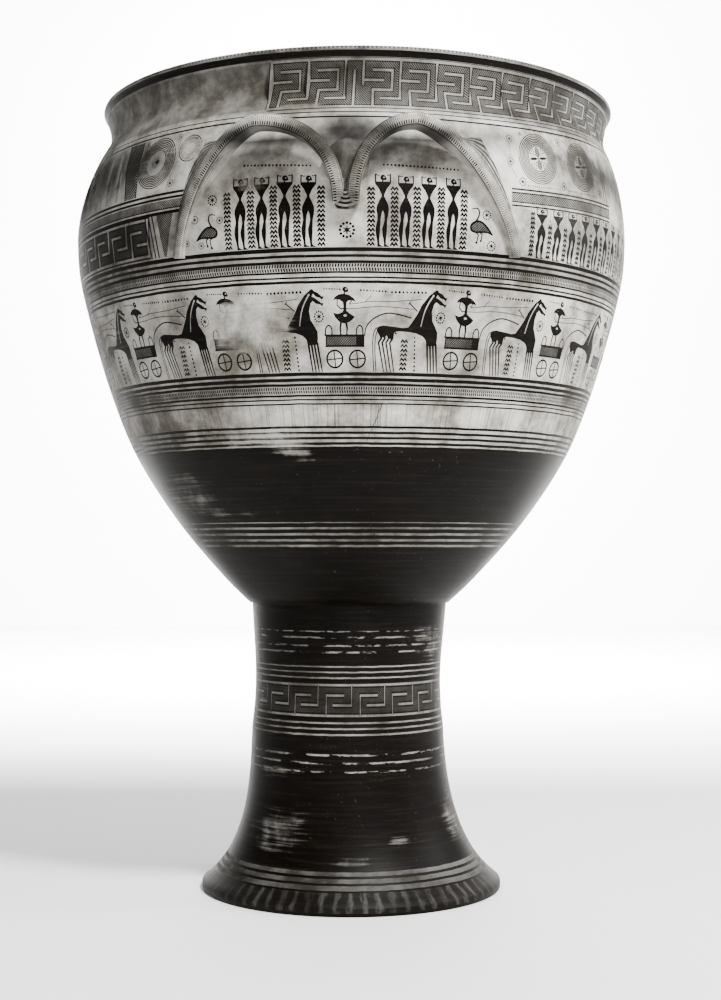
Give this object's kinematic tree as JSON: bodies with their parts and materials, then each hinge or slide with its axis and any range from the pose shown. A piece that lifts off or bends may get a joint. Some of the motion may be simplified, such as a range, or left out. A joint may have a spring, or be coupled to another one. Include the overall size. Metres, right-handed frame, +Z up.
{
  "type": "greek krater",
  "caption": "Tall pedestalled painted krater of fired clay: deep open bowl with a flaring lip, two double-arched strap handles and a hollow flared stem.",
  "frame": {"origin": "centre of the circle that the foot stands on, on the floor", "axes": "+Z up along the vessel's axis, the two double-arched handles point to -Y and +Y, +X to the viewer's right when facing the handle at -Y"},
  "size_m": [0.876, 0.9594, 1.232],
  "materials": {
    "painted_clay": "satin dark slip painted in bands and figures on matt pale clay"
  },
  "bodies": {
    "root": {"krater": "painted_clay"}
  },
  "joints": []
}
